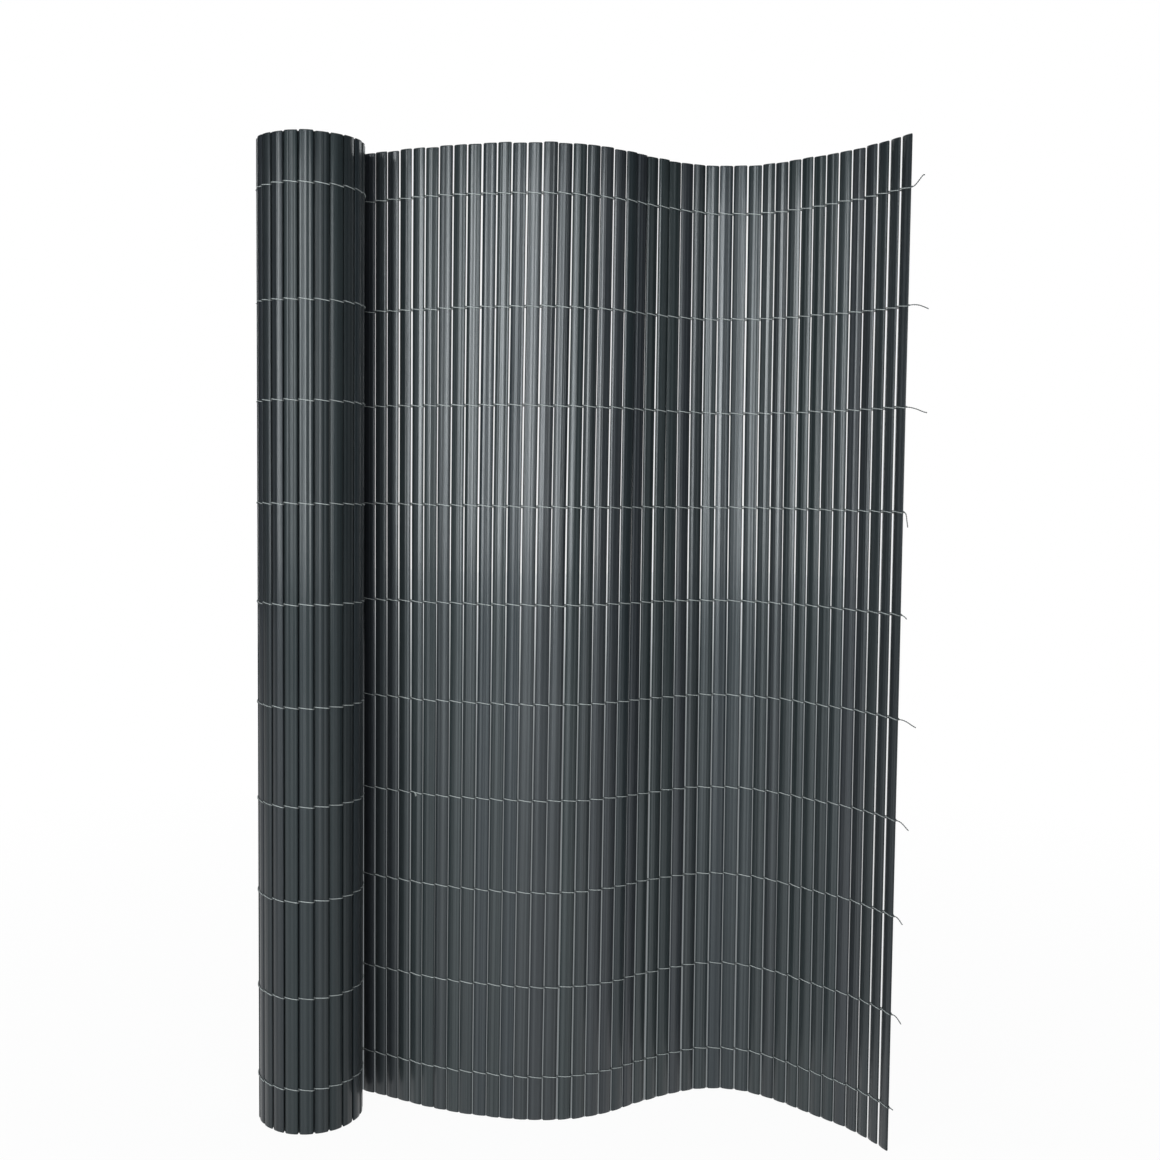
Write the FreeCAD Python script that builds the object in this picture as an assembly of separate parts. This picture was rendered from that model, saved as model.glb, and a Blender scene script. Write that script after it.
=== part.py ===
"""Partly unrolled screening roll: hollow plastic slats bound side by side with twin cords."""
import FreeCAD, Part
import math
import os

# the slats: an extruded hollow section, stood on end
slat_height = 1000.0
slat_width = 14.0
slat_gap = 1.1            # open space from slat to slat
slat_thickness = 2.5      # over the two crowns
edge_thickness = 1.0      # at the two long edges
wall = 0.6                # plastic at each crown
edge_wall = 0.6           # plastic at each long edge
slat_count = 198          # a sheet of about three metres

# the roll that is still wound
bore_radius = 23.3        # to the innermost crown
turn_clearance = 0.65     # from crown to crown of two turns, where the cord lies
leaving_count = 4         # slats between the roll and the open panel
panel_count = 41          # slats of the open panel
roll_exit_heading = -1.0  # degrees from +X, where the sheet leaves the roll
roll_groups = 6           # the wound slats are kept in this many groups

# the open sheet as it stands, seen from above: (degrees of turn, slats in the bend)
bends = [(-28.5, 4), (14.5, 8), (7.5, 3), (48, 8), (-14.5, 5),
         (-52, 5), (-17.5, 3), (0, 4), (-22, 5)]
# how it leans: (slats from the roll, how far right and how far back the head is from the foot)
leans = [(0, 0, 0), (5, -1.8, -8.3), (8, -0.7, -6.0), (11, 1.3, -4.6), (14, 3.7, -6.3),
         (17, 4.8, -4.9), (20, 1.7, 1.0), (23, -0.1, 3.6), (26, -4.1, 6.1), (29, -6.3, 5.3),
         (32, -7.6, 3.4), (35, -7.9, 4.4), (38, -8.3, 4.4), (41, -8.0, 1.1), (45, -7.3, -0.6)]

# the binding: rows of twin strands, one on each face
row_heights = [950, 839, 741, 640, 540, 438, 338, 242, 142, 46]   # from the slats' feet
strand_diameter = 0.9
strand_clearance = 0.1    # from a strand to the crowns it lies on
strand_corners = 3
last_turn_share = 0.92    # of the last turn, where a strand shows outside
nip_count = 4             # slats at the nip, where the sheet hides the inner strand
tail_heading = -20.0      # degrees from +X, the loose ends past the last slat
tail_lengths = [15, 18, 20, 15, 7, 17, 15, 11, 13, 5]   # of each row

# worked out from the sizes above
pitch = slat_width + slat_gap
turn_pitch = slat_thickness + turn_clearance
rolled_count = slat_count - leaving_count - panel_count
growth = turn_pitch / (2 * math.pi)           # of the spiral's radius, per radian
inner_line = bore_radius + slat_thickness / 2
outer_line = math.sqrt(inner_line ** 2 + 2 * growth * rolled_count * pitch)
last_turn = 2 * math.pi * outer_line / pitch  # slats in it
exit_tilt = math.atan2(growth, outer_line)    # of the spiral from its circle
exit_angle = math.radians(roll_exit_heading) + math.pi / 2 - exit_tilt


def on_roll(distance):
    """Point and heading on the spiral, at a distance back from where the sheet leaves it."""
    wound = (outer_line - math.sqrt(outer_line ** 2 - 2 * growth * distance)) / growth
    radius = outer_line - growth * wound
    angle = exit_angle + wound
    heading = angle - math.pi / 2 + math.atan2(growth, radius)
    return radius * math.cos(angle), radius * math.sin(angle), heading


def along_bend(x, y, heading, turn, length):
    """Point and heading after one bend, or after a straight where there is no turn."""
    if turn == 0:
        return x + length * math.cos(heading), y + length * math.sin(heading), heading
    radius = length / turn
    x += radius * (math.sin(heading + turn) - math.sin(heading))
    y -= radius * (math.cos(heading + turn) - math.cos(heading))
    return x, y, heading + turn


def on_sheet(distance):
    """Point and heading on the sheet's middle line: below zero it is still on the roll."""
    if distance < 0:
        return on_roll(-distance)
    x, y, heading = on_roll(0)
    for number, (degrees, slats) in enumerate(bends):
        last = number == len(bends) - 1
        step = distance if last else min(distance, slats * pitch)
        turn = math.radians(degrees) * step / (slats * pitch)
        x, y, heading = along_bend(x, y, heading, turn, step)
        distance -= step
        if distance <= 0:
            break
    return x, y, heading


def lean_at(slats):
    """How far the head is from the foot, at a count of slats from the roll."""
    if slats <= leans[0][0]:
        return 0.0, 0.0
    for (before, right, back), (after, next_right, next_back) in zip(leans, leans[1:]):
        if slats <= after:
            share = (slats - before) / (after - before)
            return right + (next_right - right) * share, back + (next_back - back) * share
    return leans[-1][1:]


def arc(start, middle, end):
    return Part.Arc(*[FreeCAD.Vector(x, y, 0) for x, y in (start, middle, end)]).toShape()


def line(start, end):
    return Part.makeLine(FreeCAD.Vector(*start, 0), FreeCAD.Vector(*end, 0))


def creased(start, middle, end):
    """The broad face of a slat deep in the roll, where only its ends can be seen."""
    return Part.makePolygon([FreeCAD.Vector(x, y, 0) for x, y in (start, middle, end)])


def slat_section(broad_face):
    """Two crowned faces between narrow edges, round a hollow that thins to both edges."""
    side = slat_width / 2
    edge = edge_thickness / 2
    crown = slat_thickness / 2
    outside = Part.Wire([broad_face((-side, edge), (0, crown), (side, edge)),
                         line((side, edge), (side, -edge)),
                         broad_face((side, -edge), (0, -crown), (-side, -edge)),
                         line((-side, -edge), (-side, edge))])
    tip = side - edge_wall
    hollow_crown = crown - wall
    hollow = Part.Wire([broad_face((-tip, 0), (0, hollow_crown), (tip, 0)),
                        broad_face((tip, 0), (0, -hollow_crown), (-tip, 0))])
    return Part.Face([outside, hollow])


def slat(distance, broad_face=arc):
    """One slat, with its middle at a distance along the sheet."""
    x, y, heading = on_sheet(distance)
    right, back = lean_at(distance / pitch)
    foot = slat_section(broad_face)
    foot.rotate(FreeCAD.Vector(0, 0, 0), FreeCAD.Vector(0, 0, 1), math.degrees(heading))
    foot.translate(FreeCAD.Vector(x - right / 2, y - back / 2, 0))
    return foot.extrude(FreeCAD.Vector(right, back, slat_height))


def crown_line(number, side, offset, height):
    """The straight run of a strand over one slat: a point on it and its heading."""
    x, y, heading = on_sheet((number + 0.5) * pitch)
    right, back = lean_at(number + 0.5)
    share = height / slat_height - 0.5
    x += right * share - side * offset * math.sin(heading)
    y += back * share + side * offset * math.cos(heading)
    return x, y, heading


def stretched(run, length):
    x, y, heading = run
    return x + length * math.cos(heading), y + length * math.sin(heading)


def meeting(first, second):
    """The corner between two runs, midway across the gap between their slats."""
    x1, y1 = stretched(first, pitch / 2)
    x2, y2 = stretched(second, -pitch / 2)
    return (x1 + x2) / 2, (y1 + y2) / 2


def strand_route(side, offset, height, first, last, tail):
    """Corners of a strand seen from above: one bend in each gap, then its loose end."""
    runs = [crown_line(number, side, offset, height) for number in range(first, last + 1)]
    end = stretched(runs[-1], pitch / 2)
    points = [stretched(runs[0], -pitch / 2)]
    points += [meeting(runs[i], runs[i + 1]) for i in range(len(runs) - 1)]
    points.append(end)
    if tail > 0:
        points.append(stretched((*end, math.radians(tail_heading)), tail))
    return points


def strand(side, height, first, last, tail):
    """A thin solid of few sides, with a corner in each gap, that lies on the slats' crowns."""
    radius = strand_diameter / 2
    middle = slat_thickness / 2 + strand_clearance + radius
    rings = []
    for corner in range(strand_corners):
        angle = math.pi + 2 * math.pi * (corner + 0.5) / strand_corners
        offset = middle + radius * math.cos(angle)
        rise = radius * math.sin(angle)
        rings.append([FreeCAD.Vector(x, y, height + rise)
                      for x, y in strand_route(side, offset, height, first, last, tail)])
    faces = []
    for ring, following in zip(rings, rings[1:] + rings[:1]):
        for i in range(len(ring) - 1):
            for third in (ring[i + 1], following[i]):
                corners = [ring[i], following[i + 1], third, ring[i]]
                faces.append(Part.Face(Part.makePolygon(corners)))
    for end in (0, -1):
        faces.append(Part.Face(Part.makePolygon([ring[end] for ring in rings] + [rings[0][end]])))
    solid = Part.Solid(Part.Shell(faces))
    if solid.Volume < 0:
        solid.reverse()
    return solid


def binding_cord(row):
    """Both strands of one row: the outer one also goes round the roll's last turn."""
    height = row_heights[row]
    last = leaving_count + panel_count - 1
    outer = strand(1, height, -int(last_turn_share * last_turn), last, 0)
    inner = strand(-1, height, nip_count, last, tail_lengths[row])
    return Part.makeCompound([outer, inner])


def rolled_slats():
    """The wound slats in equal groups, counted inwards."""
    groups = {}
    for number in range(rolled_count):
        group = number * roll_groups // rolled_count + 1
        face = arc if number <= last_turn else creased
        groups.setdefault(f"rolled_slats_{group:02d}", []).append(slat(-(number + 0.5) * pitch, face))
    return {name: Part.makeCompound(solids) for name, solids in groups.items()}


def all_nodes():
    nodes = rolled_slats()
    leaving = [slat((number + 0.5) * pitch) for number in range(leaving_count)]
    nodes["leaving_slats"] = Part.makeCompound(leaving)
    for number in range(panel_count):
        nodes[f"panel_slat_{number + 1:02d}"] = slat((leaving_count + number + 0.5) * pitch)
    for row in range(len(row_heights)):
        nodes[f"binding_cord_{row + 1:02d}"] = binding_cord(row)
    return nodes


nodes = all_nodes()
box = Part.makeCompound(list(nodes.values())).optimalBoundingBox()
to_origin = FreeCAD.Vector(-box.Center.x, -box.Center.y, -box.ZMin)
os.makedirs("parts", exist_ok=True)
for name, shape in nodes.items():
    shape.translate(to_origin)
    shape.exportStep(f"parts/{name}.step")
print("outer radius", outer_line + slat_thickness / 2, "box", box.XLength, box.YLength, box.ZLength)
print("roll axis at", to_origin.x, to_origin.y)
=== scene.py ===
import math
import random

import bpy
from mathutils import Matrix, Vector


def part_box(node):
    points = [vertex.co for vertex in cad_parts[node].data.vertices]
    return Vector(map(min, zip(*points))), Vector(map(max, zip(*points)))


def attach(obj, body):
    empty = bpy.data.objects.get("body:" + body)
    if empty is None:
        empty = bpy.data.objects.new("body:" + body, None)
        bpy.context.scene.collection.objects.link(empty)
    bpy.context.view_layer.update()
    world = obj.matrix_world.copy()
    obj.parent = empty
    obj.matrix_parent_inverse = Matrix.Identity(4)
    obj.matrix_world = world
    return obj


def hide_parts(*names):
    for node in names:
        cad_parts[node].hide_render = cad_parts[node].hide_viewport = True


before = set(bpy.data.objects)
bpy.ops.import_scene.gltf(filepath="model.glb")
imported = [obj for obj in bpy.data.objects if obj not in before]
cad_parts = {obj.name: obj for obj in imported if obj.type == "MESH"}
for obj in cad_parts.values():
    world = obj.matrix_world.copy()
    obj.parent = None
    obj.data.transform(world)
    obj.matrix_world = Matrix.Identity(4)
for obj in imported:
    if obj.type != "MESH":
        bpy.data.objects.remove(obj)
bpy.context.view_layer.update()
print("frame loaded,", len(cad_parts), "nodes")

mm = 0.001

slat = {
    "height": 1.0,
    "width": 14.0 * mm,
    "gap": 1.1 * mm,
    "thickness": 2.5 * mm,       # over the two crowns
    "edgeThickness": 1.0 * mm,
    "edgeRound": 0.6 * mm,
    "cornerCut": (0.7 * mm, 0.9 * mm),   # in from the side, and down from the end
    "wall": 0.6 * mm,
    "edgeWall": 0.6 * mm,
    "slit": 0.06 * mm,           # of the hollow at its two thin edges
    "flutes": 3,                 # faint waves over a broad face
    "fluteDepth": 0.04 * mm,
    "faceSteps": 28,
    "endSteps": 5,
    "levels": [0, 0.06, 0.15, 0.26, 0.38, 0.5, 0.62, 0.74, 0.85, 0.94, 1.0],
    "deepFaceSteps": 6,
    "deepEndSteps": 2,
    "deepLevels": [0, 1.0],
    "rock": 4.5,                 # degrees either way, about a slat's own upright line
    "twist": 2.4,                # degrees from foot to head
    "slip": 0.28 * mm,           # either way along the sheet
    "spread": 0.3 * mm,          # either way along the sheet, from foot to head
    "stagger": 0.3 * mm,         # either way through the sheet
    "unevenCut": 1.1 * mm,       # the shortest slat is cut this much short
    "seed": 14,
}

sheet = {
    "slats": 198,
    "leaving": 4,
    "panel": 41,
    "rollGroups": 6,
    "boreRadius": 23.3 * mm,
    "turnClearance": 0.65 * mm,
    "exitHeading": -1.0,
    "bends": [(-28.5, 4), (14.5, 8), (7.5, 3), (48, 8), (-14.5, 5),
              (-52, 5), (-17.5, 3), (0, 4), (-22, 5)],      # degrees, slats in the bend
    # slats from the roll, then how far the head stands from the foot in mm, to the right and back
    "leans": [(0, 0, 0), (5, -1.8, -8.3), (8, -0.7, -6.0), (11, 1.3, -4.6), (14, 3.7, -6.3),
              (17, 4.8, -4.9), (20, 1.7, 1.0), (23, -0.1, 3.6), (26, -4.1, 6.1), (29, -6.3, 5.3),
              (32, -7.6, 3.4), (35, -7.9, 4.4), (38, -8.3, 4.4), (41, -8.0, 1.1), (45, -7.3, -0.6)],
    "sway": 0.9 * mm,            # slow bulges of the open sheet
    "swayScale": 2.2,
}

pitch = slat["width"] + slat["gap"]
rolledCount = sheet["slats"] - sheet["leaving"] - sheet["panel"]
growth = (slat["thickness"] + sheet["turnClearance"]) / (2 * math.pi)
innerLine = sheet["boreRadius"] + slat["thickness"] / 2
outerLine = math.sqrt(innerLine ** 2 + 2 * growth * rolledCount * pitch)
lastTurn = int(2 * math.pi * outerLine / pitch)
exitAngle = math.radians(sheet["exitHeading"]) + math.pi / 2 - math.atan2(growth, outerLine)


def onRoll(distance):
    wound = (outerLine - math.sqrt(outerLine ** 2 - 2 * growth * distance)) / growth
    radius = outerLine - growth * wound
    angle = exitAngle + wound
    heading = angle - math.pi / 2 + math.atan2(growth, radius)
    return radius * math.cos(angle), radius * math.sin(angle), heading


def alongBend(x, y, heading, turn, length):
    if turn == 0:
        return x + length * math.cos(heading), y + length * math.sin(heading), heading
    radius = length / turn
    x += radius * (math.sin(heading + turn) - math.sin(heading))
    y -= radius * (math.cos(heading + turn) - math.cos(heading))
    return x, y, heading + turn


def onSheet(distance):
    # where the sheet's middle line is, and its heading; below zero it is still on the roll
    if distance < 0:
        return onRoll(-distance)
    x, y, heading = onRoll(0)
    bends = sheet["bends"]
    for number, (degrees, slats) in enumerate(bends):
        step = distance if number == len(bends) - 1 else min(distance, slats * pitch)
        x, y, heading = alongBend(x, y, heading, math.radians(degrees) * step / (slats * pitch), step)
        distance -= step
        if distance <= 0:
            break
    return x, y, heading


firstLow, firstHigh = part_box("panel_slat_01")
firstPath = onSheet((sheet["leaving"] + 0.5) * pitch)
toFrame = Vector(((firstLow[0] + firstHigh[0]) / 2 - firstPath[0],
                  (firstLow[1] + firstHigh[1]) / 2 - firstPath[1]))


def leanAt(slatsOut):
    # how far the head is from the foot
    leans = sheet["leans"]
    if slatsOut <= leans[0][0]:
        return Vector((0, 0))
    for (before, x1, y1), (after, x2, y2) in zip(leans, leans[1:]):
        if slatsOut <= after:
            share = (slatsOut - before) / (after - before)
            return Vector((x1 + (x2 - x1) * share, y1 + (y2 - y1) * share)) * mm
    return Vector(leans[-1][1:]) * mm


def looseAt(number):
    # 0 on the roll, 1 on the open sheet
    return max(0.0, min(1.0, (number + 1) / (sheet["leaving"] + 4)))


slatDraw = random.Random(slat["seed"])
slatSet = {}                      # each slat's own small faults, by its number
for number in range(-rolledCount, sheet["leaving"] + sheet["panel"]):
    freedom = 1.0 if number >= 0 else (0.5 if number >= -lastTurn else 0.0)
    slatSet[number] = {
        "rock": math.radians(slat["rock"]) * slatDraw.uniform(-1, 1) * freedom,
        "twist": math.radians(slat["twist"]) * slatDraw.uniform(-1, 1) * freedom,
        "slip": slat["slip"] * slatDraw.uniform(-1, 1) * freedom,
        "spread": slat["spread"] * slatDraw.uniform(-1, 1) * freedom,
        "stagger": slat["stagger"] * slatDraw.uniform(-1, 1) * freedom,
        "cut": slatDraw.uniform(0, 1) ** 2 * slat["unevenCut"] / slat["height"],
    }


def slatPlace(number):
    # a slat's middle at half height, its heading there, and the whole of its lean
    x, y, heading = onSheet((number + 0.5) * pitch)
    along = Vector((math.cos(heading), math.sin(heading)))
    through = Vector((-along.y, along.x))
    faults = slatSet[number]
    middle = Vector((x, y)) + toFrame + along * faults["slip"] + through * faults["stagger"]
    return middle, heading + faults["rock"], leanAt(number + 0.5) + along * faults["spread"]


def slatFrame(number, height):
    # a slat's middle and heading at a height
    middle, heading, lean = slatPlace(number)
    share = height / slat["height"] - 0.5
    return middle + lean * share, heading + slatSet[number]["twist"] * share


def faceHeight(across):
    # half of a slat's thickness at a distance from its middle line
    half = slat["width"] / 2
    edge = slat["edgeThickness"] / 2
    share = across / half
    crown = edge + (slat["thickness"] / 2 - edge) * (1 - share * share)
    flute = slat["fluteDepth"] * math.cos(2 * math.pi * slat["flutes"] * share / 2)
    return crown + flute * (1 - share ** 4) - slat["fluteDepth"]


def slatOutline(faceSteps, endSteps):
    # counterclockwise, from the left end of the face that looks to -y
    flat = slat["width"] / 2 - slat["edgeRound"]
    rise = faceHeight(flat)
    face = [(-flat + 2 * flat * i / faceSteps) for i in range(faceSteps + 1)]
    side = [math.pi * (i + 1) / (endSteps + 1) - math.pi / 2 for i in range(endSteps)]
    points = [(across, -faceHeight(across)) for across in face]
    points += [(flat + slat["edgeRound"] * math.cos(a), rise * math.sin(a)) for a in side]
    points += [(across, faceHeight(across)) for across in reversed(face)]
    points += [(-flat - slat["edgeRound"] * math.cos(a), -rise * math.sin(a)) for a in side]
    return points


def hollowOutline(outline):
    # the same count of points, drawn in by the wall and closing to a thin slit at both edges
    tip = slat["width"] / 2 - slat["edgeWall"]
    top = slat["thickness"] / 2 - slat["wall"]
    points = []
    for across, out in outline:
        inner = across * tip / (slat["width"] / 2)
        height = top * (1 - (inner / tip) ** 2) + slat["slit"] / 2
        points.append((inner, math.copysign(height, out) if abs(out) > 1e-9 else 0.0))
    return points


def makeSlatTemplate(name, faceSteps, endSteps, levels):
    outer = slatOutline(faceSteps, endSteps)
    inner = hollowOutline(outer)
    count = len(outer)
    points = []
    cutIn, cutDown = slat["cornerCut"]
    ends = [0, cutDown / slat["height"]]
    levels = ends + levels[1:-1] + [1 - end for end in reversed(ends)]
    for level in levels:
        narrowed = 1 - cutIn / (slat["width"] / 2) if level in (0, 1) else 1
        points += [(x * narrowed, y, level * slat["height"]) for x, y in outer]
        points += [(x * narrowed, y, level * slat["height"]) for x, y in inner]
    faces = []
    for level in range(len(levels) - 1):
        base = level * 2 * count
        above = base + 2 * count
        for i in range(count):
            j = (i + 1) % count
            faces.append((base + i, base + j, above + j, above + i))
            faces.append((base + count + j, base + count + i, above + count + i, above + count + j))
    wallCount = len(faces)
    top = (len(levels) - 1) * 2 * count
    for i in range(count):
        j = (i + 1) % count
        faces.append((i, count + i, count + j, j))
        faces.append((top + i, top + j, top + count + j, top + count + i))
    mesh = bpy.data.meshes.new(name)
    mesh.from_pydata(points, [], faces)
    cutEnd = mesh.attributes.new("cutEnd", "BOOLEAN", "FACE")
    cutEnd.data.foreach_set("value", [i >= wallCount for i in range(len(faces))])
    across = mesh.attributes.new("across", "FLOAT", "POINT")
    across.data.foreach_set("value", [point[0] / (slat["width"] / 2) for point in points])
    outward = mesh.attributes.new("outward", "FLOAT", "POINT")
    outward.data.foreach_set("value", [point[1] / (slat["thickness"] / 2) for point in points])
    mesh.polygons.foreach_set("use_smooth", [i < wallCount for i in range(len(faces))])
    template = bpy.data.objects.new(name, mesh)
    bpy.context.scene.collection.objects.link(template)
    return template


# node helpers: every tree below is built with these
def make(tree, kind, inputs=None, **settings):
    node = tree.nodes.new(kind)
    for key, value in settings.items():
        setattr(node, key, value)
    for key, value in (inputs or {}).items():
        if isinstance(value, bpy.types.NodeSocket):
            tree.links.new(value, node.inputs[key])
        else:
            node.inputs[key].default_value = value
    return node


def calc(tree, operation, *values):
    return make(tree, "ShaderNodeMath", dict(enumerate(values)), operation=operation).outputs[0]


def vectorCalc(tree, operation, *values):
    node = make(tree, "ShaderNodeVectorMath", dict(enumerate(values)), operation=operation)
    return node.outputs[0]


def scaled(tree, vector, factor):
    node = make(tree, "ShaderNodeVectorMath", {0: vector, "Scale": factor}, operation="SCALE")
    return node.outputs[0]


def named(tree, name, kind="FLOAT"):
    return make(tree, "GeometryNodeInputNamedAttribute", {"Name": name}, data_type=kind).outputs[0]


def newTree(name, inputs):
    tree = bpy.data.node_groups.new(name, "GeometryNodeTree")
    tree.interface.new_socket(name="Geometry", in_out="OUTPUT", socket_type="NodeSocketGeometry")
    tree.interface.new_socket(name="Geometry", in_out="INPUT", socket_type="NodeSocketGeometry")
    for inputName, kind in inputs:
        tree.interface.new_socket(name=inputName, in_out="INPUT", socket_type="NodeSocket" + kind)
    source = tree.nodes.new("NodeGroupInput")
    return tree, source.outputs, tree.nodes.new("NodeGroupOutput").inputs[0]


def withoutAttributes(tree, geometry, names):
    for name in names:
        bare = make(tree, "GeometryNodeRemoveAttribute", {"Geometry": geometry, "Name": name})
        geometry = bare.outputs[0]
    return geometry


def sheetSwayTree():
    # slow bulges of the open sheet, the same for slats and cords because they go by place
    tree, given, result = newTree("sheetSway", [("Sway", "Float"), ("Sway scale", "Float")])
    place = make(tree, "GeometryNodeInputPosition").outputs[0]
    bulges = make(tree, "ShaderNodeTexNoise",
                  {"Vector": place, "Scale": given["Sway scale"], "Detail": 1.0})
    centred = vectorCalc(tree, "SUBTRACT", bulges.outputs["Color"], (0.5, 0.5, 0.5))
    level = vectorCalc(tree, "MULTIPLY", centred, (2.0, 2.0, 0.0))
    strength = calc(tree, "MULTIPLY", given["Sway"], named(tree, "loose"))
    moved = make(tree, "GeometryNodeSetPosition",
                 {"Geometry": given["Geometry"], "Offset": scaled(tree, level, strength)})
    tree.links.new(moved.outputs[0], result)
    return tree


sheetSway = sheetSwayTree()


def standSlatsTree():
    tree, given, result = newTree("standSlats", [
        ("Slat", "Object"), ("Height", "Float"), ("Sway", "Float"), ("Sway scale", "Float"),
        ("Seed", "Int"), ("Skin", "Material"), ("Cut end", "Material")])
    template = make(tree, "GeometryNodeObjectInfo", {"Object": given["Slat"]})
    turn = make(tree, "ShaderNodeCombineXYZ", {"Z": named(tree, "heading")})
    rotation = make(tree, "FunctionNodeEulerToRotation", {0: turn.outputs[0]})
    stood = make(tree, "GeometryNodeInstanceOnPoints", {
        "Points": given["Geometry"], "Instance": template.outputs["Geometry"],
        "Rotation": rotation.outputs[0]})
    tone = make(tree, "FunctionNodeRandomValue",
                {"ID": named(tree, "slatNumber", "INT"), "Seed": given["Seed"]}, data_type="FLOAT")
    toned = make(tree, "GeometryNodeStoreNamedAttribute",
                 {"Geometry": stood.outputs[0], "Name": "slatTone", "Value": tone.outputs[1]},
                 data_type="FLOAT", domain="INSTANCE")
    real = make(tree, "GeometryNodeRealizeInstances", {"Geometry": toned.outputs[0]})

    place = make(tree, "GeometryNodeInputPosition").outputs[0]
    upright = make(tree, "ShaderNodeSeparateXYZ", {0: place}).outputs["Z"]
    share = calc(tree, "SUBTRACT", calc(tree, "DIVIDE", upright, given["Height"]), 0.5)
    lean = scaled(tree, named(tree, "lean", "FLOAT_VECTOR"), share)
    arm = vectorCalc(tree, "SUBTRACT", place, named(tree, "slatMiddle", "FLOAT_VECTOR"))
    across = vectorCalc(tree, "CROSS_PRODUCT", (0.0, 0.0, 1.0), arm)
    twisted = scaled(tree, across, calc(tree, "MULTIPLY", share, named(tree, "twist")))
    shortened = calc(tree, "MULTIPLY", calc(tree, "MULTIPLY", upright, named(tree, "cut")), -1.0)
    cut = make(tree, "ShaderNodeCombineXYZ", {"Z": shortened}).outputs[0]
    offset = vectorCalc(tree, "ADD", vectorCalc(tree, "ADD", lean, twisted), cut)
    leaned = make(tree, "GeometryNodeSetPosition", {"Geometry": real.outputs[0], "Offset": offset})
    swayed = make(tree, "GeometryNodeGroup", node_tree=sheetSway)
    tree.links.new(leaned.outputs[0], swayed.inputs["Geometry"])
    tree.links.new(given["Sway"], swayed.inputs["Sway"])
    tree.links.new(given["Sway scale"], swayed.inputs["Sway scale"])

    skin = make(tree, "GeometryNodeSetMaterial",
                {"Geometry": swayed.outputs[0], "Material": given["Skin"]})
    ends = make(tree, "GeometryNodeSetMaterial",
                {"Geometry": skin.outputs[0], "Selection": named(tree, "cutEnd", "BOOLEAN"),
                 "Material": given["Cut end"]})
    bare = withoutAttributes(tree, ends.outputs[0], [
        "heading", "lean", "twist", "cut", "loose", "slatMiddle", "slatNumber", "cutEnd"])
    tree.links.new(bare, result)
    return tree


def strandSweepTree():
    tree, given, result = newTree("strandSweep", [
        ("Radius", "Float"), ("Sides", "Int"), ("Sway", "Float"), ("Sway scale", "Float"),
        ("Finish", "Material")])
    swayed = make(tree, "GeometryNodeGroup", node_tree=sheetSway)
    tree.links.new(given["Geometry"], swayed.inputs["Geometry"])
    tree.links.new(given["Sway"], swayed.inputs["Sway"])
    tree.links.new(given["Sway scale"], swayed.inputs["Sway scale"])
    line = make(tree, "GeometryNodeMeshToCurve", {"Mesh": swayed.outputs[0]})
    along = make(tree, "GeometryNodeSplineParameter")
    measured = make(tree, "GeometryNodeStoreNamedAttribute",
                    {"Geometry": line.outputs[0], "Name": "cordAlong",
                     "Value": along.outputs["Length"]},
                    data_type="FLOAT", domain="POINT")
    ring = make(tree, "GeometryNodeCurvePrimitiveCircle",
                {"Resolution": given["Sides"], "Radius": given["Radius"]})
    # where round the strand: a direction, so that it has no seam
    direction = vectorCalc(tree, "NORMALIZE", make(tree, "GeometryNodeInputPosition").outputs[0])
    marked = make(tree, "GeometryNodeStoreNamedAttribute",
                  {"Geometry": ring.outputs[0], "Name": "cordAround", "Value": direction},
                  data_type="FLOAT_VECTOR", domain="POINT")
    swept = make(tree, "GeometryNodeCurveToMesh",
                 {"Curve": measured.outputs[0], "Profile Curve": marked.outputs[0],
                  "Scale": named(tree, "thick"), "Fill Caps": True})
    smooth = make(tree, "GeometryNodeSetShadeSmooth", {"Geometry": swept.outputs[0]})
    finished = make(tree, "GeometryNodeSetMaterial",
                    {"Geometry": smooth.outputs[0], "Material": given["Finish"]})
    tree.links.new(withoutAttributes(tree, finished.outputs[0], ["loose", "thick"]), result)
    return tree


def settle(piece, tree, values):
    # runs a tree on a piece and keeps the result as its plain mesh
    modifier = piece.modifiers.new(tree.name, "NODES")
    modifier.node_group = tree
    for item in tree.interface.items_tree:
        if item.item_type == "SOCKET" and item.in_out == "INPUT" and item.name in values:
            modifier[item.identifier] = values[item.name]
    depsgraph = bpy.context.evaluated_depsgraph_get()
    mesh = bpy.data.meshes.new_from_object(
        piece.evaluated_get(depsgraph), preserve_all_data_layers=True, depsgraph=depsgraph)
    rough = piece.data
    piece.modifiers.clear()
    piece.data = mesh
    bpy.data.meshes.remove(rough)
    mesh.name = piece.name
    return piece


def newPiece(name, points, edges=(), faces=()):
    mesh = bpy.data.meshes.new(name)
    mesh.from_pydata(points, list(edges), list(faces))
    piece = bpy.data.objects.new(name, mesh)
    bpy.context.scene.collection.objects.link(piece)
    return piece


def stagePiece(name, points, faces, material):
    piece = newPiece(name, points, faces=faces)
    piece.data.materials.append(material)
    return piece


def ringPoints(radius, count, height):
    turns = [2 * math.pi * i / count for i in range(count)]
    return [(radius * math.cos(turn), radius * math.sin(turn), height) for turn in turns]


def giveValues(piece, name, kind, values):
    field = {"FLOAT_VECTOR": "vector"}.get(kind, "value")
    if kind == "FLOAT_VECTOR":
        values = [part for value in values for part in value]
    piece.data.attributes.new(name, kind, "POINT").data.foreach_set(field, values)


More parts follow.
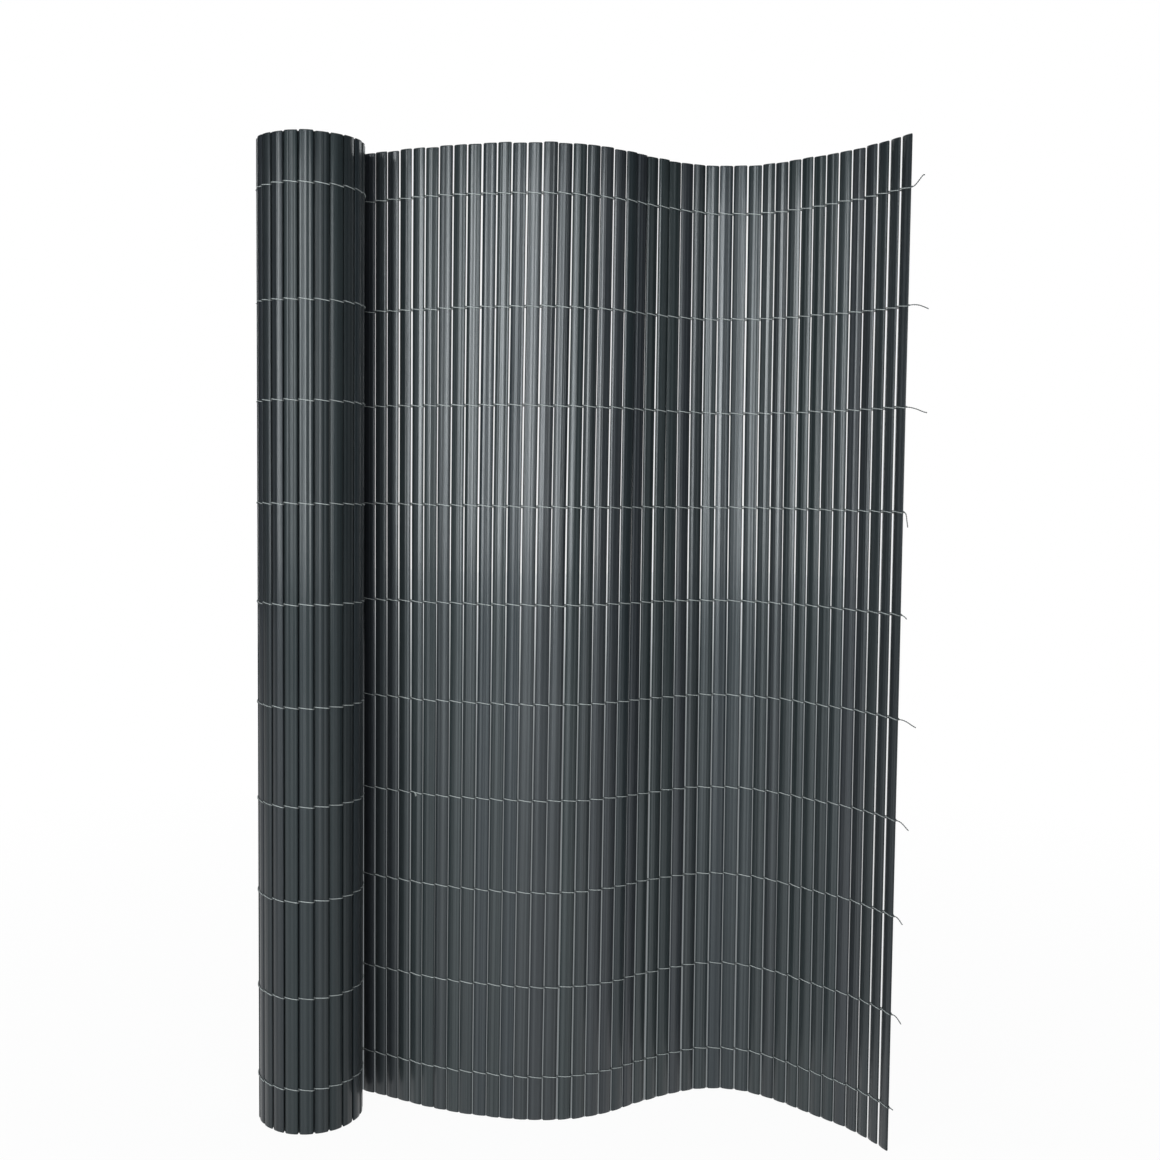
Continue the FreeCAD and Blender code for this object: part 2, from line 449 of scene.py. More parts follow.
# materials
slatFinish = {
    "tones": [(0.0, (0.0145, 0.0188, 0.0240)), (0.35, (0.0132, 0.0195, 0.0205)),
              (0.7, (0.0155, 0.0188, 0.0212)), (1.0, (0.0165, 0.0185, 0.0240))],
    "roughness": 0.46,
    "roughnessSpread": 0.07,
    "polish": 0.16,              # roughness of the thin smooth skin over it
    "crown": 1.0 * mm,           # how much rounder the gloss shows a broad face
    "bands": 0.3 * mm,           # the soft upright bands that differ from slat to slat
    "grain": 0.0015 * mm,
    "gloss": (0.43, 0.27),       # of the face that was rolled in, and of the duller outer one
    "skin": (0.58, 0.38),
    "grainRoughness": 0.04,
    "grainNoise": (900.0, 3.0),  # scale and detail
    "patchNoise": (9.0, 4.0),
    "streaks": {"across": 2.6, "along": 0.7, "apart": 61.0, "scale": 1.7, "detail": 2.0,
                "roughness": 0.5},
    "streakShare": 0.25,         # of a slat's colour, the rest goes by the slat
    "stripeLines": {"across": 2.3, "along": 0.35, "apart": 173.0, "scale": 1.0, "detail": 1.6,
                    "roughness": 0.55},
    "stripeEdges": (0.38, 0.62),
    "stripes": (0.3, 1.75),      # how much of the gloss the dark and bright upright stripes keep
    "calmStripes": (0.72, 1.28),  # the same near the slats' feet
    "calmBelow": (0.2, 0.75),    # metres up, where the stripes grow strong
    "rim": 0.75,                 # how much of the gloss the two long edges lose
    "rimSpan": (0.7, 1.0),
    "tint": (0.86, 0.95, 1.0),
    "dust": (0.16, 0.165, 0.165),
    "dustShare": 0.03,
    "dustRange": (-0.5, 1.5),
}
cutFinish = {
    "colour": (0.05, 0.056, 0.058),
    "darker": 0.6,
    "roughness": 0.62,
    "sawNoise": (1800.0, 2.0),
    "sawMarks": 0.05 * mm,
}
cordFinish = {
    "colour": (0.42, 0.455, 0.45),
    # painted shade of the grooves between the yarn's ridges
    "shade": (0.24, 0.26, 0.255),
    # painted shade: the dark colour the cord takes where it crosses a gap, near the slats' edges, and
    # on the loose ends and knots
    "paintedShadeColour": (0.03, 0.034, 0.036),
    "roughness": 0.6,
    "lay": 1.3 * mm,
    "wearNoise": (260.0, 3.0),
    "ridge": 0.06 * mm,
}


def newMaterial(name):
    material = bpy.data.materials.new(name)
    material.use_nodes = True
    tree = material.node_tree
    return material, tree, tree.nodes["Principled BSDF"]


def attribute(tree, name):
    return make(tree, "ShaderNodeAttribute", attribute_name=name)


def ramp(tree, factor, stops):
    node = make(tree, "ShaderNodeValToRGB", {"Fac": factor})
    elements = node.color_ramp.elements
    while len(elements) < len(stops):
        elements.new(0.5)
    for element, (position, colour) in zip(elements, stops):
        element.position = position
        element.color = (*colour, 1.0)
    return node.outputs["Color"]


def mixed(tree, factor, first, second):
    node = make(tree, "ShaderNodeMix", data_type="RGBA")
    for index, value in ((0, factor), (6, first), (7, second)):
        if isinstance(value, bpy.types.NodeSocket):
            tree.links.new(value, node.inputs[index])
        else:
            node.inputs[index].default_value = value if index == 0 else (*value, 1.0)
    return node.outputs[2]


def ranged(tree, value, low, high):
    node = make(tree, "ShaderNodeMapRange", {"Value": value, "To Min": low, "To Max": high})
    return node.outputs[0]


def eased(tree, value, span, low=0.0, high=1.0):
    node = make(tree, "ShaderNodeMapRange", {
        "Value": value, "From Min": span[0], "From Max": span[1], "To Min": low, "To Max": high},
        interpolation_type="SMOOTHSTEP")
    return node.outputs[0]


def noise(tree, place, scale, detail, roughness=0.5):
    node = make(tree, "ShaderNodeTexNoise", {
        "Vector": place, "Scale": scale, "Detail": detail, "Roughness": roughness})
    return node.outputs[0]


def objectPlace(tree):
    return make(tree, "ShaderNodeTexCoord").outputs["Object"]


def slatPvc():
    finish = slatFinish
    material, tree, shader = newMaterial("slatPvc")
    tone = attribute(tree, "slatTone").outputs["Fac"]
    across = attribute(tree, "across").outputs["Fac"]
    place = objectPlace(tree)
    upright = make(tree, "ShaderNodeSeparateXYZ", {0: place}).outputs["Z"]

    def uprightNoise(lines):
        # drawn along the slat, and different on each one
        drawn = make(tree, "ShaderNodeCombineXYZ", {
            "X": calc(tree, "ADD", calc(tree, "MULTIPLY", across, lines["across"]),
                      calc(tree, "MULTIPLY", tone, lines["apart"])),
            "Y": calc(tree, "MULTIPLY", upright, lines["along"])}).outputs[0]
        return noise(tree, drawn, lines["scale"], lines["detail"], lines["roughness"])

    streaks = uprightNoise(finish["streaks"])
    strong = eased(tree, upright, finish["calmBelow"])
    dark, bright = (ranged(tree, strong, finish["calmStripes"][i], finish["stripes"][i])
                    for i in (0, 1))
    shine = eased(tree, uprightNoise(finish["stripeLines"]), finish["stripeEdges"], dark, bright)
    rim = eased(tree, calc(tree, "ABSOLUTE", across), finish["rimSpan"], 1.0, 1.0 - finish["rim"])
    shine = calc(tree, "MULTIPLY", shine, rim)
    grain = noise(tree, place, *finish["grainNoise"])
    patches = noise(tree, place, *finish["patchNoise"])
    colour = ramp(tree, calc(tree, "ADD", calc(tree, "MULTIPLY", tone, 1 - finish["streakShare"]),
                             calc(tree, "MULTIPLY", streaks, finish["streakShare"])), finish["tones"])
    dust = calc(tree, "MULTIPLY", ranged(tree, patches, *finish["dustRange"]), finish["dustShare"])
    shader.inputs["Base Color"].default_value = (*finish["tones"][1][1], 1.0)
    tree.links.new(mixed(tree, dust, colour, finish["dust"]), shader.inputs["Base Color"])
    low = finish["roughness"] - finish["roughnessSpread"]
    high = finish["roughness"] + finish["roughnessSpread"]
    rough = calc(tree, "ADD", ranged(tree, streaks, low, high),
                 calc(tree, "MULTIPLY", grain, finish["grainRoughness"]))
    tree.links.new(rough, shader.inputs["Roughness"])
    outer = calc(tree, "GREATER_THAN", attribute(tree, "outward").outputs["Fac"], 0.0)
    for kind, socket in (("gloss", "Specular IOR Level"), ("skin", "Coat Weight")):
        shader.inputs[socket].default_value = finish[kind][0]
        share = calc(tree, "MULTIPLY", ranged(tree, outer, *finish[kind]), shine)
        tree.links.new(share, shader.inputs[socket])
    shader.inputs["Coat Roughness"].default_value = finish["polish"]
    shader.inputs["Specular Tint"].default_value = (*finish["tint"], 1.0)
    crown = calc(tree, "MULTIPLY", calc(tree, "MULTIPLY", across, across), -finish["crown"])
    relief = calc(tree, "ADD", crown, calc(tree, "MULTIPLY", streaks, finish["bands"]))
    relief = calc(tree, "ADD", relief, calc(tree, "MULTIPLY", grain, finish["grain"]))
    bump = make(tree, "ShaderNodeBump", {"Height": relief, "Strength": 1.0, "Distance": 1.0})
    tree.links.new(bump.outputs[0], shader.inputs["Normal"])
    tree.links.new(bump.outputs[0], shader.inputs["Coat Normal"])
    return material


def slatCutEnd():
    material, tree, shader = newMaterial("slatCutEnd")
    saw = noise(tree, objectPlace(tree), *cutFinish["sawNoise"])
    darker = tuple(channel * cutFinish["darker"] for channel in cutFinish["colour"])
    tree.links.new(mixed(tree, saw, darker, cutFinish["colour"]), shader.inputs["Base Color"])
    shader.inputs["Roughness"].default_value = cutFinish["roughness"]
    bump = make(tree, "ShaderNodeBump",
                {"Height": saw, "Strength": 0.5, "Distance": cutFinish["sawMarks"]})
    tree.links.new(bump.outputs[0], shader.inputs["Normal"])
    return material


def cordYarn():
    # twined yarn: ridges that run round the strand as they run along it, with painted shade in the
    # grooves between them
    material, tree, shader = newMaterial("cordYarn")
    along = calc(tree, "MULTIPLY", attribute(tree, "cordAlong").outputs["Fac"],
                 2 * math.pi / cordFinish["lay"])
    around = make(tree, "ShaderNodeSeparateXYZ", {0: attribute(tree, "cordAround").outputs["Vector"]})
    ridge = calc(tree, "ADD",
                 calc(tree, "MULTIPLY", calc(tree, "SINE", along), around.outputs["X"]),
                 calc(tree, "MULTIPLY", calc(tree, "COSINE", along), around.outputs["Y"]))
    wear = noise(tree, objectPlace(tree), *cordFinish["wearNoise"])
    height = calc(tree, "ADD", calc(tree, "MULTIPLY", ridge, 0.5), 0.5)
    # painted shade in the grooves between the ridges, mixed with the yarn's own wear
    shade = calc(tree, "ADD", calc(tree, "MULTIPLY", height, 0.5), calc(tree, "MULTIPLY", wear, 0.5))
    yarn = mixed(tree, shade, cordFinish["shade"], cordFinish["colour"])
    # painted shade: the cord is darkened where it crosses the gaps, near the slats' edges, and on the
    # loose ends and knots
    deep = attribute(tree, "deep").outputs["Fac"]
    tree.links.new(mixed(tree, deep, yarn, cordFinish["paintedShadeColour"]), shader.inputs["Base Color"])
    shader.inputs["Roughness"].default_value = cordFinish["roughness"]
    bump = make(tree, "ShaderNodeBump",
                {"Height": height, "Strength": 0.5, "Distance": cordFinish["ridge"]})
    tree.links.new(bump.outputs[0], shader.inputs["Normal"])
    return material


slatPvcMaterial = slatPvc()
slatCutMaterial = slatCutEnd()
cordMaterial = cordYarn()
standSlats = standSlatsTree()
strandSweep = strandSweepTree()
print("materials and trees built")


# the slats
openSlat = makeSlatTemplate("openSlat", slat["faceSteps"], slat["endSteps"], slat["levels"])
deepSlat = makeSlatTemplate("deepSlat", slat["deepFaceSteps"], slat["deepEndSteps"],
                            slat["deepLevels"])


def slatPiece(name, node, numbers, template):
    places = [slatPlace(number) for number in numbers]
    middles = [(*middle, 0.0) for middle, heading, lean in places]
    piece = newPiece(name, middles)
    giveValues(piece, "heading", "FLOAT", [heading for middle, heading, lean in places])
    giveValues(piece, "lean", "FLOAT_VECTOR", [(*lean, 0.0) for middle, heading, lean in places])
    giveValues(piece, "slatMiddle", "FLOAT_VECTOR", middles)
    giveValues(piece, "twist", "FLOAT", [slatSet[n]["twist"] for n in numbers])
    giveValues(piece, "cut", "FLOAT", [slatSet[n]["cut"] for n in numbers])
    giveValues(piece, "loose", "FLOAT", [looseAt(n) for n in numbers])
    giveValues(piece, "slatNumber", "INT", numbers)
    settle(piece, standSlats, {
        "Slat": template, "Height": slat["height"], "Sway": sheet["sway"],
        "Sway scale": sheet["swayScale"], "Seed": slat["seed"],
        "Skin": slatPvcMaterial, "Cut end": slatCutMaterial})
    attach(piece, "root")
    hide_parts(node)
    return piece


rollGroups = {}
for wound in range(rolledCount):
    rollGroups.setdefault(wound * sheet["rollGroups"] // rolledCount + 1, []).append(-wound - 1)
for group, numbers in rollGroups.items():
    template = openSlat if group == 1 else deepSlat
    slatPiece(f"rolledSlats{group:02d}", f"rolled_slats_{group:02d}", numbers, template)
slatPiece("leavingSlats", "leaving_slats", list(range(sheet["leaving"])), openSlat)
for index in range(sheet["panel"]):
    slatPiece(f"panelSlat{index + 1:02d}", f"panel_slat_{index + 1:02d}",
              [sheet["leaving"] + index], openSlat)
for template in (openSlat, deepSlat):
    mesh = template.data
    bpy.data.objects.remove(template)
    bpy.data.meshes.remove(mesh)
print("slats stood")


# the binding cords: two strands that change sides in every gap
cord = {
    "rowHeights": [950, 839, 741, 640, 540, 438, 338, 242, 142, 46],   # mm from the feet
    "radius": 0.45 * mm,
    "woundRadius": 0.3 * mm,     # pressed flat between two turns
    "clearance": 0.02 * mm,
    "sides": 6,
    "crossing": 0.85 * mm,       # how far above or below the row a strand crosses the gap
    "rollShare": 0.92,           # of the last turn
    "nip": 4,
    "touches": [across * mm for across in (-6.8, -5.6, -2.8, 0.0, 2.8, 5.6, 6.8)],
    "crossingThick": 1.85,
    "edgeShade": 0.6,             # how much painted shade it gets at a slat's edge, where it goes into the gap
    # the loose ends and the knots get this much painted shade too
    "tailShade": 0.8,
    "waver": 0.9 * mm,
    "step": 0.35 * mm,           # either way, from one slat to the next
    "waverLength": 9,            # slats from one drawn height to the next
    "seed": 5,
}

freeEnds = {
    "heading": -20.0,            # degrees from +x
    "lay": 4.2 * mm,
    "step": 0.7 * mm,
    "radius": 0.32 * mm,
    "thick": 0.72,
    # each row from the top: right and up from the last slat, in mm, as seen from the front
    "bends": [
        [(2, 0.6), (5, 4), (8.2, 8.6), (9.6, 10.2), (11, 10.4)],
        [(4, 0.4), (9, -0.2), (13, -1.8), (17.5, -4)],
        [(5, -0.8), (10, -2.4), (15, -4.6), (18.5, -5.6)],
        [(1.8, -1.2), (2.6, -4.5), (3.2, -9), (4, -14.5)],
        [(2, -0.8), (4, -2.6), (5, -4)],
        [(4, -0.6), (8, -2.4), (12, -5), (15.5, -7)],
        [(3, -0.8), (6, -3), (9.5, -7), (11.5, -9)],
        [(2.5, -0.6), (5, -3.2), (8, -7.6)],
        [(3, -0.8), (6, -4), (9, -8.6)],
        [(1.5, -0.5), (3.6, -2)],
    ],
}

hitch = {                        # the knot past the last slat
    "inside": 0.4 * mm,          # where the loose ends start, past half a pitch
    "middle": 0.6 * mm,
    "radius": 0.62 * mm,
    "length": 1.3 * mm,
    "turns": 2.5,
    "points": 22,
    "thick": 0.7,
}

rowDraw = random.Random(cord["seed"])
lastSlat = sheet["leaving"] + sheet["panel"] - 1
firstSlat = -int(cord["rollShare"] * 2 * math.pi * outerLine / pitch)


def waverOf(row, number):
    # the row's own slow rise and fall, and a small step from slat to slat
    heights, steps = row
    place = (number - firstSlat) / cord["waverLength"]
    index = int(place)
    share = place - index
    share = share * share * (3 - 2 * share)
    slow = heights[index] + (heights[index + 1] - heights[index]) * share
    return slow + steps[number - firstSlat]


def onSlat(number, height, across, out, rise):
    middle, heading = slatFrame(number, height)
    x = middle.x + across * math.cos(heading) - out * math.sin(heading)
    y = middle.y + across * math.sin(heading) + out * math.cos(heading)
    return Vector((x, y, height + rise))


def strandPoints(height, waver, phase):
    # one strand from the roll to the open sheet's edge: its points, how loose and how thick each is,
    # and how much painted shade it gets
    points = []
    loose = []
    thick = []
    deep = []
    for number in range(firstSlat, lastSlat + 1):
        side = 1 if (number + phase) % 2 == 0 else -1
        middle = waverOf(waver, number)
        radius = cord["woundRadius"] if number < cord["nip"] and side < 0 else cord["radius"]
        lift = cord["clearance"] + radius
        for across in cord["touches"]:
            rise = side * cord["crossing"] * across / (slat["width"] / 2)
            out = side * (faceHeightRound(across) + lift)
            points.append(onSlat(number, height, across, out, middle + rise))
            loose.append(looseAt(number))
            thick.append(radius / cord["radius"])
            deep.append(cord["edgeShade"] if abs(across) > cord["touches"][-2] else 0.0)
        if number < lastSlat:
            here = onSlat(number, height, pitch / 2, 0.0, 0.0)
            there = onSlat(number + 1, height, -pitch / 2, 0.0, 0.0)
            crossing = (here + there) / 2
            crossing.z += (middle + waverOf(waver, number + 1)) / 2 + side * cord["crossing"]
            points.append(crossing)
            loose.append((looseAt(number) + looseAt(number + 1)) / 2)
            thick.append(cord["crossingThick"])
            # painted shade: full where the strand crosses the gap
            deep.append(1.0)
    return points, loose, thick, deep


def faceHeightRound(across):
    # the broad face, then the rounded edge
    flat = slat["width"] / 2 - slat["edgeRound"]
    if abs(across) <= flat:
        return faceHeight(across)
    share = min(1.0, (abs(across) - flat) / slat["edgeRound"])
    return faceHeight(flat) * math.sqrt(1 - share * share)


def smoothRoute(corners, step):
    # an even walk along a Catmull-Rom curve through the corners
    ends = [corners[0] * 2 - corners[1], *corners, corners[-1] * 2 - corners[-2]]
    route = []
    for before, a, b, after in zip(ends, ends[1:], ends[2:], ends[3:]):
        count = max(2, round((b - a).length / step))
        for i in range(count):
            t = i / count
            route.append(0.5 * (2 * a + (b - before) * t + (2 * before - 5 * a + 4 * b - after) * t * t
                                + (3 * a - before - 3 * b + after) * t ** 3))
    return [*route, corners[-1]]


def twisted(route, radius, lay, phase, start=0.0):
    # a strand that winds round a route
    points = []
    walked = start
    for i, point in enumerate(route):
        ahead = route[min(i + 1, len(route) - 1)] - route[max(i - 1, 0)]
        forward = ahead.normalized()
        level = forward.cross(Vector((0, 0, 1)))
        level = level.normalized() if level.length > 1e-6 else Vector((1, 0, 0))
        rise = level.cross(forward)
        angle = 2 * math.pi * walked / lay + phase
        points.append(point + (level * math.cos(angle) + rise * math.sin(angle)) * radius)
        if i + 1 < len(route):
            walked += (route[i + 1] - point).length
    return points


def tailRoute(row, start):
    heading = math.radians(freeEnds["heading"])
    corners = [start]
    for right, up in freeEnds["bends"][row]:
        away = right * mm / math.cos(heading)
        corners.append(start + Vector((away * math.cos(heading), away * math.sin(heading), up * mm)))
    return smoothRoute(corners, freeEnds["step"])


def knotRoute(middle, forward, radius, length, turns, points):
    route = []
    side = forward.cross(Vector((0, 0, 1))).normalized()
    rise = side.cross(forward)
    for i in range(points + 1):
        share = i / points
        angle = 2 * math.pi * turns * share
        along = length * (share - 0.5)
        swell = radius * (0.75 + 0.25 * math.sin(math.pi * share))
        winding = side * math.cos(angle) + rise * math.sin(angle)
        route.append(middle + forward * along + winding * swell)
    return route


def cordPiece(row):
    height = cord["rowHeights"][row] * mm
    drawn = (lastSlat - firstSlat) // cord["waverLength"] + 3
    waver = ([rowDraw.uniform(-1, 1) * cord["waver"] for _ in range(drawn)],
             [rowDraw.uniform(-1, 1) * cord["step"] for _ in range(lastSlat - firstSlat + 1)])
    runs = []
    for phase in (0, 1):
        points, loose, thick, deep = strandPoints(height, waver, phase)
        start = onSlat(lastSlat, height, pitch / 2 + hitch["inside"], 0.0, waverOf(waver, lastSlat))
        tail = twisted(tailRoute(row, start), freeEnds["radius"], freeEnds["lay"], phase * math.pi)
        # the loose ends and the knot below get painted shade as well
        runs.append((points + tail, loose + [1.0] * len(tail), thick + [freeEnds["thick"]] * len(tail),
                     deep + [cord["tailShade"]] * len(tail)))
    edge = onSlat(lastSlat, height, pitch / 2 + hitch["middle"], 0.0, waverOf(waver, lastSlat))
    forward = Vector((math.cos(math.radians(freeEnds["heading"])),
                      math.sin(math.radians(freeEnds["heading"])), 0))
    knot = knotRoute(edge, forward, hitch["radius"], hitch["length"], hitch["turns"], hitch["points"])
    runs.append((knot, [1.0] * len(knot), [hitch["thick"]] * len(knot), [cord["tailShade"]] * len(knot)))
    if row == splice["row"]:
        runs += spliceRuns(height, waver)
    points = []
    loose = []
    thick = []
    deep = []
    edges = []
    for run, runLoose, runThick, runShade in runs:
        edges += [(len(points) + i, len(points) + i + 1) for i in range(len(run) - 1)]
        points += run
        loose += runLoose
        thick += runThick
        deep += runShade
    piece = newPiece(f"bindingCord{row + 1:02d}", points, edges)
    giveValues(piece, "loose", "FLOAT", loose)
    giveValues(piece, "thick", "FLOAT", thick)
    giveValues(piece, "deep", "FLOAT", deep)
    settle(piece, strandSweep, {
        "Radius": cord["radius"], "Sides": cord["sides"], "Sway": sheet["sway"],
        "Sway scale": sheet["swayScale"], "Finish": cordMaterial})
    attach(piece, "root")
    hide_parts(f"binding_cord_{row + 1:02d}")
    return piece


splice = {
    "row": 6,                    # the seventh from the top
    "slat": 7,                   # from the roll
    "across": -1.0 * mm,
    "ends": [[(0.4, -1.2), (0.9, -3.9)], [(1.6, -1.4), (2.6, -3.2)]],   # right and down, in mm
    "radius": 0.6 * mm,
    "length": 1.6 * mm,
    "turns": 2.5,
    "points": 24,
    "knotThick": 0.75,
    "endThick": 0.8,
    "step": 0.5 * mm,
}


def spliceRuns(height, waver):
    # a small knot on the front of one slat with two short ends
    rise = waverOf(waver, splice["slat"])
    out = -(slat["thickness"] / 2 + cord["radius"] * 2)
    middle = onSlat(splice["slat"], height, splice["across"], out, rise)
    heading = slatFrame(splice["slat"], height)[1]
    forward = Vector((math.cos(heading), math.sin(heading), 0))
    knot = knotRoute(middle, forward, splice["radius"], splice["length"], splice["turns"],
                     splice["points"])
    loose = looseAt(splice["slat"])
    runs = [(knot, [loose] * len(knot), [splice["knotThick"]] * len(knot), [0.0] * len(knot))]
    for bends in splice["ends"]:
        corners = [middle]
        for right, up in bends:
            corners.append(middle + forward * right * mm + Vector((0, 0, up * mm)))
        route = smoothRoute(corners, splice["step"])
        runs.append((route, [loose] * len(route), [splice["endThick"]] * len(route),
                     [0.0] * len(route)))
    return runs


for row in range(len(cord["rowHeights"])):
    cordPiece(row)
print("cords twined")


camera = {                       # where the photograph was taken from
    "fromRoll": (0.2749, -1.3470),   # right and back of the roll's axis
    "height": 0.6616,
    "down": 4.096,               # degrees
    "roll": 0.824,
    "lens": 40.86,
    "sensor": 36.0,
    "nearest": 0.05,
}

# the studio
studio = {
    "floorColour": (0.8, 0.8, 0.8),
    "floorRoughness": 0.9,
    "floorRadius": 9.0,
    "floorSides": 96,
    "floorWhite": (0.955, 1.0),  # to the camera, near the object and far off
    "floorGlow": (0.62, 0.3),    # in the gloss, near the object and far off
    "whiteFrom": (0.45, 1.7),    # metres
    "roomRadius": 5.6,
    "roomHeight": 3.4,
    "roomSides": 48,
    "roomColour": (0.035, 0.035, 0.035),
    "ambient": 0.2,
}

# the sheet's own soft shade on the floor behind it, which shows through the gaps near the feet
shade = {
    "colour": (0.08, 0.08, 0.08),
    "tone": (0.2, 1.0),          # to the camera, behind the sheet and far off
    "tint": (0.88, 0.96, 1.0),
    "pales": (0.58, 0.97),       # where it turns white: 1 less one part in so many of the way here
    "reach": [1.0, 1.02, 1.06, 1.15, 1.3, 1.6, 2.0, 2.8, 4.0, 5.6, 7.4],
    "rollArc": (200, 90, -10),   # degrees round the roll
    "soft": 6,                   # slats over which its sides fade
    "above": 0.3 * mm,
}

# soft lamps: degrees from +x or a place, metres from the object, and size
lamps = {
    "height": 1.05,
    "aim": (0.0, 0.0, 0.72),
    "colour": (0.95, 0.985, 1.0),
    "rings": {
        "strips": {"directions": [-135.0, -103.0, -66.0], "away": 2.9, "size": (0.71, 1.4),
                   "watts": 26.0},
        "backs": {"directions": [60.0, 110.0], "away": 2.9, "size": (1.5, 1.8),
                  "watts": 26.0},
    },
    "frontFill": {"at": (-1.0, -3.0, 1.05), "size": (6.4, 1.4), "watts": 40.0},
    "top": {"at": (0.0, 0.0, 3.2), "size": (1.8, 1.8), "watts": 28.0},
}


def camRays(tree, *kinds):
    path = make(tree, "ShaderNodeLightPath")
    total = path.outputs[kinds[0]]
    for kind in kinds[1:]:
        total = calc(tree, "MAXIMUM", total, path.outputs[kind])
    return total


def matte(name, colour, roughness):
    material, tree, shader = newMaterial(name)
    shader.inputs["Base Color"].default_value = (*colour, 1.0)
    shader.inputs["Roughness"].default_value = roughness
    return material, tree, shader


def blended(tree, factor, first, second):
    # two surfaces in one material
    blend = make(tree, "ShaderNodeMixShader", {"Fac": factor})
    tree.links.new(first.outputs[0], blend.inputs[1])
    tree.links.new(second.outputs[0], blend.inputs[2])
    tree.links.new(blend.outputs[0], tree.nodes["Material Output"].inputs["Surface"])


def floorPiece():
    material, tree, shader = matte("paleFloor", studio["floorColour"], studio["floorRoughness"])
    shader.inputs["Specular IOR Level"].default_value = 0.0
    white = make(tree, "ShaderNodeEmission", {"Strength": 1.0})
    away = make(tree, "ShaderNodeVectorMath", {0: objectPlace(tree)}, operation="LENGTH")
    near, beyond = studio["whiteFrom"]
    far = make(tree, "ShaderNodeMapRange", {
        "Value": away.outputs["Value"], "From Min": near, "From Max": beyond}).outputs[0]
    seen = calc(tree, "MULTIPLY", ranged(tree, far, *studio["floorWhite"]),
                camRays(tree, "Is Camera Ray", "Is Transmission Ray"))
    gloss = calc(tree, "MULTIPLY", ranged(tree, far, *studio["floorGlow"]),
                 camRays(tree, "Is Glossy Ray"))
    blended(tree, calc(tree, "MAXIMUM", seen, gloss), shader, white)
    points = ringPoints(studio["floorRadius"], studio["floorSides"], 0.0)
    return stagePiece("studioFloor", points, [tuple(range(len(points)))], material)


def floorShade():
    # from the feet of the slats it runs away from the viewer
    viewer = toFrame + Vector(camera["fromRoll"])
    feet = []
    for degrees in range(*shade["rollArc"]):
        direction = math.radians(degrees)
        feet.append(toFrame + outerLine * Vector((math.cos(direction), math.sin(direction))))
    for joint in range(sheet["leaving"] + sheet["panel"] + 1):
        feet.append(Vector(onSheet(joint * pitch)[:2]) + toFrame - leanAt(joint) / 2)
    last = len(feet) - 1
    rows = len(shade["reach"])
    points = [(*(viewer + (foot - viewer) * reach), shade["above"])
              for foot in feet for reach in shade["reach"]]
    faces = [(i * rows + k, (i + 1) * rows + k, (i + 1) * rows + k + 1, i * rows + k + 1)
             for i in range(last) for k in range(rows - 1)]
    material, tree, shader = matte("shadedFloor", shade["colour"], 1.0)
    shader.inputs["Specular IOR Level"].default_value = 0.0
    pale = eased(tree, attribute(tree, "depth").outputs["Fac"], shade["pales"])
    tree.links.new(mixed(tree, pale, shade["tint"], (1.0, 1.0, 1.0)), shader.inputs["Emission Color"])
    tree.links.new(ranged(tree, pale, *shade["tone"]), shader.inputs["Emission Strength"])
    clear = make(tree, "ShaderNodeBsdfTransparent")
    blended(tree, attribute(tree, "soft").outputs["Fac"], clear, shader)
    piece = stagePiece("floorShade", points, faces, material)
    sides = [min(1.0, i / shade["soft"], (last - i) / shade["soft"]) for i in range(last + 1)]
    fades = [side * side * (3 - 2 * side) for side in sides]
    giveValues(piece, "soft", "FLOAT", [fade for fade in fades for _ in range(rows)])
    giveValues(piece, "depth", "FLOAT", [1 - 1 / reach for _ in feet for reach in shade["reach"]])
    piece.visible_diffuse = False
    piece.visible_glossy = False
    piece.visible_shadow = False
    return piece


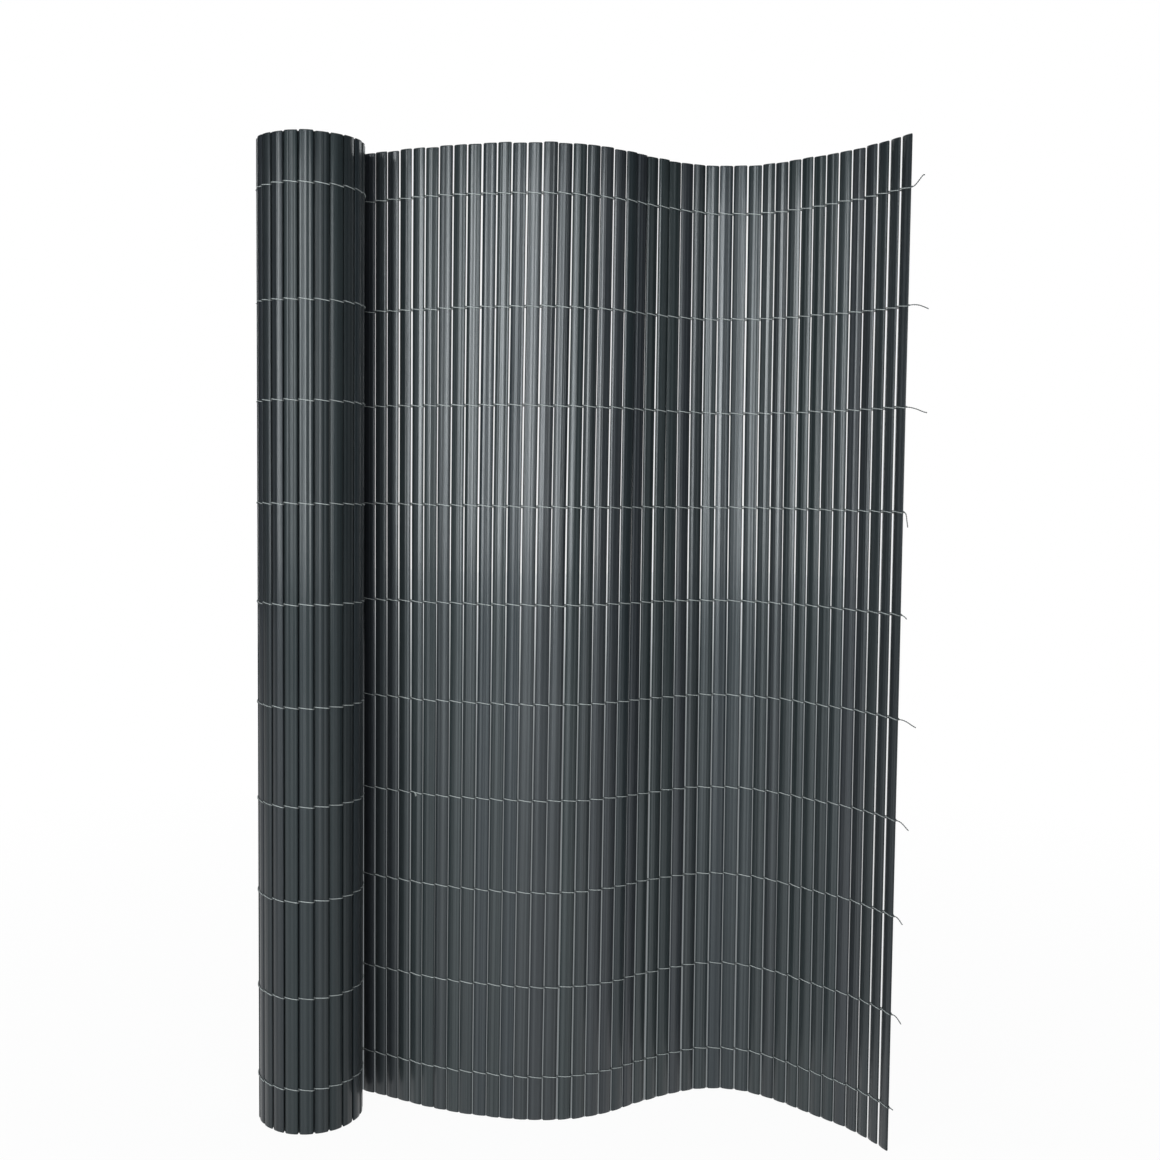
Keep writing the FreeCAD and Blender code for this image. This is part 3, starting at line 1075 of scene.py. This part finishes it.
def darkRoom():
    # walls and ceiling hidden from the camera, so that the gloss shows only the lamps and floor
    count = studio["roomSides"]
    material = matte("darkWall", studio["roomColour"], 1.0)[0]
    points = (ringPoints(studio["roomRadius"], count, 0.0)
              + ringPoints(studio["roomRadius"], count, studio["roomHeight"]))
    faces = [(i, count + i, count + (i + 1) % count, (i + 1) % count) for i in range(count)]
    faces.append(tuple(reversed(range(count, 2 * count))))
    room = stagePiece("darkRoom", points, faces, material)
    room.visible_camera = False
    return room


floorPiece()
floorShade()
darkRoom()


def softLamp(name, place, size, watts):
    lamp = bpy.data.lights.new(name, "AREA")
    lamp.shape = "RECTANGLE"
    lamp.size, lamp.size_y = size
    lamp.energy = watts
    lamp.color = lamps["colour"]
    lampObject = bpy.data.objects.new(name, lamp)
    lampObject.location = place
    aim = Vector(lamps["aim"]) - lampObject.location
    lampObject.rotation_euler = aim.to_track_quat("-Z", "Y").to_euler()
    bpy.context.scene.collection.objects.link(lampObject)


for name, ring in lamps["rings"].items():
    for number, degrees in enumerate(ring["directions"]):
        direction = math.radians(degrees)
        place = (ring["away"] * math.cos(direction), ring["away"] * math.sin(direction),
                 lamps["height"])
        softLamp(f"{name}{number + 1}", place, ring["size"], ring["watts"])
for name in ("frontFill", "top"):
    softLamp(name, lamps[name]["at"], lamps[name]["size"], lamps[name]["watts"])

world = bpy.data.worlds.new("studioWorld")
world.use_nodes = True
worldTree = world.node_tree
background = worldTree.nodes["Background"]
background.inputs["Color"].default_value = (1.0, 1.0, 1.0, 1.0)
worldSeen = camRays(worldTree, "Is Camera Ray", "Is Glossy Ray", "Is Transmission Ray")
worldStrength = ranged(worldTree, worldSeen, studio["ambient"], 1.0)
worldTree.links.new(worldStrength, background.inputs["Strength"])
bpy.context.scene.world = world
print("studio lit")


# the camera
lens = bpy.data.cameras.new("frontCamera")
lens.lens = camera["lens"]
lens.sensor_width = camera["sensor"]
lens.clip_start = camera["nearest"]
viewer = bpy.data.objects.new("frontCamera", lens)
cameraPlace = toFrame + Vector(camera["fromRoll"])
viewer.matrix_world = (Matrix.Translation((*cameraPlace, camera["height"]))
                       @ Matrix.Rotation(math.radians(90 - camera["down"]), 4, "X")
                       @ Matrix.Rotation(math.radians(camera["roll"]), 4, "Z"))
bpy.context.scene.collection.objects.link(viewer)
bpy.context.scene.camera = viewer
bpy.context.scene.view_settings.view_transform = "Standard"
